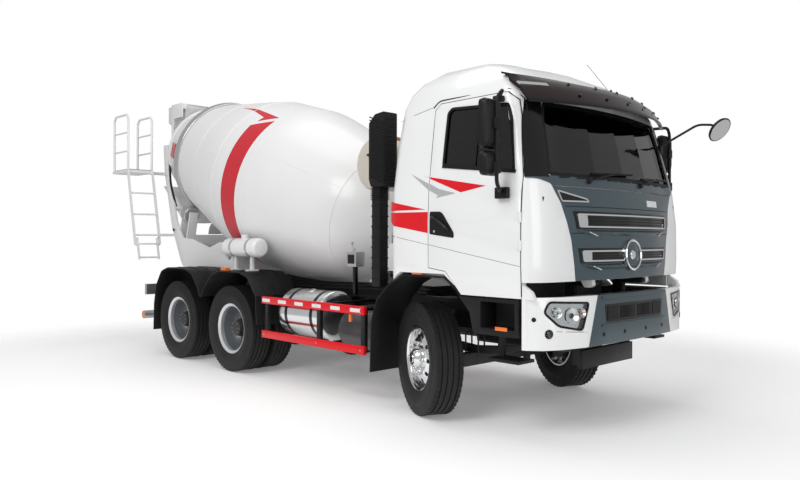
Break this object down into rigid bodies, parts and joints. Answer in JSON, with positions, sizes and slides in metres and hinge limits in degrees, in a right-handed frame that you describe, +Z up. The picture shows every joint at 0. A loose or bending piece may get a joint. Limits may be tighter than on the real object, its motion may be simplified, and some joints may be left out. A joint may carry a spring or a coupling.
{
  "type": "concrete mixer truck",
  "caption": "Cab-over truck with a tilted rotating concrete drum, charging hopper, discharge chute, water tank, rear platform with ladder, twin rear wheels and steered front wheels.",
  "frame": {"origin": "on the ground, below the centre of the bounding box", "axes": "+Z up; the truck faces -Y, so +Y runs along it to the rear; its left side is +X"},
  "size_m": [3.06, 8.3992, 3.7],
  "materials": {
    "white_paint": "gloss white paint",
    "drum_paint": "gloss off-white paint",
    "grey_paint": "slate grey paint",
    "black_paint": "satin black paint",
    "black_plastic": "black moulded plastic",
    "red_paint": "gloss red paint",
    "tyre": "tyre rubber",
    "alloy": "bright aluminium",
    "steel": "galvanised steel",
    "iron": "painted cast iron",
    "glass": "dark tinted glass",
    "cloth": "dark woven cloth over moulded trim"
  },
  "bodies": {
    "chassis": {"additive_tank": "white_paint", "air_intake": "black_plastic", "battery_and_air_tank": "black_plastic", "bogie_springs": "iron", "bumper_centre": "grey_paint", "bumper_corner_left": "white_paint", "bumper_corner_right": "white_paint", "chassis_frame": "black_paint", "drum_gearbox": "iron", "engine_and_gearbox": "iron", "exhaust_silencer": "steel", "front_axle": "iron", "front_fender_left": "white_paint", "front_fender_right": "white_paint", "front_pedestal": "white_paint", "fuel_tank": "alloy", "middle_axle": "iron", "platform_and_ladder": "white_paint", "rear_axle": "iron", "rear_fenders_left": "black_plastic", "rear_fenders_right": "black_plastic", "rear_pedestal": "white_paint", "rear_underrun": "steel", "side_guard_left": "red_paint", "side_guard_right": "red_paint", "water_tank": "white_paint"},
    "cab": {"cab_shell": "white_paint", "cab_interior": "cloth", "windscreen": "glass", "sun_visor": "black_plastic", "front_mirror": "black_plastic"},
    "door_right_body": {"door_right": "white_paint", "door_glass_right": "glass", "mirror_right": "black_plastic"},
    "door_left_body": {"door_left": "white_paint", "door_glass_left": "glass", "mirror_left": "black_plastic"},
    "front_panel": {"grille_panel": "grey_paint"},
    "knuckle_right_body": {"knuckle_right": "iron"},
    "knuckle_left_body": {"knuckle_left": "iron"},
    "tie_rod_body": {"tie_rod": "iron"},
    "front_wheel_right": {"rim_front_right": "alloy", "tyre_front_right": "tyre"},
    "front_wheel_left": {"rim_front_left": "alloy", "tyre_front_left": "tyre"},
    "middle_wheel_right": {"twin_wheel_middle_right": "tyre"},
    "middle_wheel_left": {"twin_wheel_middle_left": "tyre"},
    "rear_wheel_right": {"twin_wheel_rear_right": "tyre"},
    "rear_wheel_left": {"twin_wheel_rear_left": "tyre"},
    "drum_body": {"drum": "drum_paint"},
    "roller_right_body": {"support_roller_right": "steel"},
    "roller_left_body": {"support_roller_left": "steel"},
    "hopper_body": {"loading_hopper": "white_paint"},
    "chute_bracket_body": {"chute_bracket": "steel"},
    "main_chute_body": {"main_chute": "white_paint"},
    "chute_extension_body": {"chute_extension": "white_paint"},
    "ladder_lower_body": {"ladder_lower": "white_paint"}
  },
  "joints": [
    {"name": "cab_tilt", "type": "hinge", "parent": "chassis", "child": "cab", "pos_m": [0, -3.78, 1.235], "axis": [1, 0, 0], "range_deg": [0, 40]},
    {"name": "door_right_swing", "type": "hinge", "parent": "cab", "child": "door_right_body", "pos_m": [-1.249, -3.643, 1.6], "axis": [0, 0, 1], "range_deg": [0, 65]},
    {"name": "door_left_swing", "type": "hinge", "parent": "cab", "child": "door_left_body", "pos_m": [1.249, -3.643, 1.6], "axis": [0, 0, -1], "range_deg": [0, 65]},
    {"name": "front_panel_drop", "type": "hinge", "parent": "cab", "child": "front_panel", "pos_m": [0, -3.892, 1.262], "axis": [1, 0, 0], "range_deg": [0, 45]},
    {"name": "steer_right", "type": "hinge", "parent": "chassis", "child": "knuckle_right_body", "pos_m": [-0.86, -2.48, 0.52051], "axis": [0, 0, 1], "range_deg": [-11, 59]},
    {"name": "steer_left", "type": "hinge", "parent": "chassis", "child": "knuckle_left_body", "pos_m": [0.86, -2.48, 0.52051], "axis": [0, 0, 1], "range_deg": [-11, 59]},
    {"name": "tie_rod_pivot", "type": "hinge", "parent": "knuckle_right_body", "child": "tie_rod_body", "pos_m": [-0.77865, -2.29729, 0.37011], "axis": [0, 0, 1], "range_deg": [-59, 11]},
    {"name": "front_wheel_right_spin", "type": "hinge", "parent": "knuckle_right_body", "child": "front_wheel_right", "pos_m": [-1.00617, -2.41492, 0.52051], "axis": [0.9135, -0.4067, 0], "continuous": true},
    {"name": "front_wheel_left_spin", "type": "hinge", "parent": "knuckle_left_body", "child": "front_wheel_left", "pos_m": [1.00617, -2.54508, 0.52051], "axis": [0.9135, -0.4067, 0], "continuous": true},
    {"name": "middle_wheel_right_spin", "type": "hinge", "parent": "chassis", "child": "middle_wheel_right", "pos_m": [-0.9325, 0.745, 0.52051], "axis": [1, 0, 0], "continuous": true},
    {"name": "middle_wheel_left_spin", "type": "hinge", "parent": "chassis", "child": "middle_wheel_left", "pos_m": [0.9325, 0.745, 0.52051], "axis": [1, 0, 0], "continuous": true},
    {"name": "rear_wheel_right_spin", "type": "hinge", "parent": "chassis", "child": "rear_wheel_right", "pos_m": [-0.9325, 2.095, 0.52051], "axis": [1, 0, 0], "continuous": true},
    {"name": "rear_wheel_left_spin", "type": "hinge", "parent": "chassis", "child": "rear_wheel_left", "pos_m": [0.9325, 2.095, 0.52051], "axis": [1, 0, 0], "continuous": true},
    {"name": "drum_spin", "type": "hinge", "parent": "chassis", "child": "drum_body", "pos_m": [0, -0.68, 1.82], "axis": [0, 0.9636, 0.2672], "continuous": true},
    {"name": "roller_right_spin", "type": "hinge", "parent": "chassis", "child": "roller_right_body", "pos_m": [-0.53575, 3.07601, 1.9719], "axis": [0, 0.9636, 0.2672], "continuous": true},
    {"name": "roller_left_spin", "type": "hinge", "parent": "chassis", "child": "roller_left_body", "pos_m": [0.53575, 3.07601, 1.9719], "axis": [0, 0.9636, 0.2672], "continuous": true},
    {"name": "hopper_tilt", "type": "hinge", "parent": "chassis", "child": "hopper_body", "pos_m": [0, 3.38, 3.66], "axis": [1, 0, 0], "range_deg": [0, 45]},
    {"name": "chute_swing", "type": "hinge", "parent": "chassis", "child": "chute_bracket_body", "pos_m": [0, 3.85, 1.34], "axis": [0, 0, 1], "range_deg": [0, 150]},
    {"name": "chute_tilt", "type": "hinge", "parent": "chute_bracket_body", "child": "main_chute_body", "pos_m": [0.13, 3.85, 1.5], "axis": [0, 1, 0], "range_deg": [-10, 8]},
    {"name": "chute_unfold", "type": "hinge", "parent": "main_chute_body", "child": "chute_extension_body", "pos_m": [1.136, 3.85, 1.676], "axis": [0, 1, 0], "range_deg": [0, 176]},
    {"name": "ladder_slide", "type": "slide", "parent": "chassis", "child": "ladder_lower_body", "axis": [0, -0.2321, -0.9727], "range_m": [0, 0.42]}
  ],
  "couplings": [
    {"joint": "steer_left", "follows": "steer_right", "ratio": 1},
    {"joint": "tie_rod_pivot", "follows": "steer_right", "ratio": -1},
    {"joint": "roller_right_spin", "follows": "drum_spin", "ratio": -7.08},
    {"joint": "roller_left_spin", "follows": "drum_spin", "ratio": -7.08}
  ]
}
